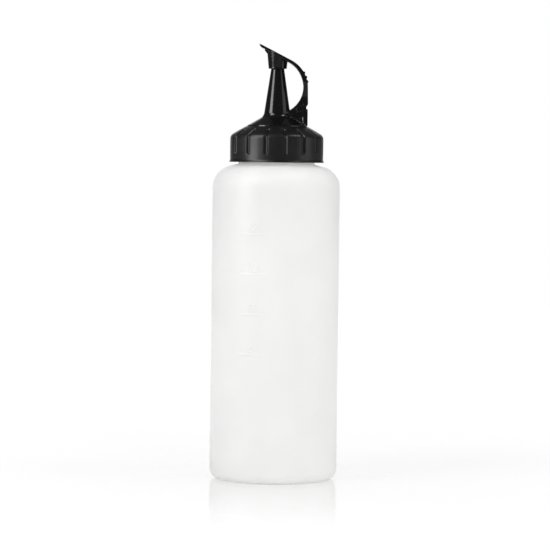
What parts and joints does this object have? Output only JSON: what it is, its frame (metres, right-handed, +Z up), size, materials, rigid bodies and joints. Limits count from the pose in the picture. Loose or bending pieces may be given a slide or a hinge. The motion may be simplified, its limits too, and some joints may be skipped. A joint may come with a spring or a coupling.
{
  "type": "condiment squeeze bottle",
  "caption": "Translucent squeeze bottle with a grooved screw cap, a tapered nozzle spout and a hinged flip lid that covers the nozzle tip.",
  "frame": {"origin": "centre of the base, on the surface that the bottle stands on", "axes": "+Z up along the bottle, +X towards the hinge of the flip lid, -Y towards the fill lines"},
  "size_m": [0.064, 0.064, 0.2185],
  "materials": {
    "bottle_plastic": "translucent natural, soft sheen",
    "cap_plastic": "satin black",
    "spout_plastic": "gloss black",
    "seal_silicone": "matt translucent white"
  },
  "bodies": {
    "bottle": {"bottle": "bottle_plastic"},
    "spout_assembly": {"spout": "spout_plastic", "neck_seal": "seal_silicone"},
    "cap": {"screw_cap": "cap_plastic"},
    "lid": {"flip_lid": "spout_plastic", "tip_seal": "seal_silicone"}
  },
  "joints": [
    {"name": "closure_rise", "type": "slide", "parent": "bottle", "child": "spout_assembly", "axis": [0, 0, 1], "range_m": [0, 0.0126]},
    {"name": "cap_twist", "type": "hinge", "parent": "spout_assembly", "child": "cap", "pos_m": [0, 0, 0.165], "axis": [0, 0, 1], "range_deg": [0, 1080]},
    {"name": "lid_swing", "type": "hinge", "parent": "spout_assembly", "child": "lid", "pos_m": [0.0107, 0, 0.18558], "axis": [0, 1, 0], "range_deg": [0, 115]}
  ],
  "couplings": [
    {"joint": "closure_rise", "follows": "cap_twist", "m_per_rad": 0.00066845}
  ]
}
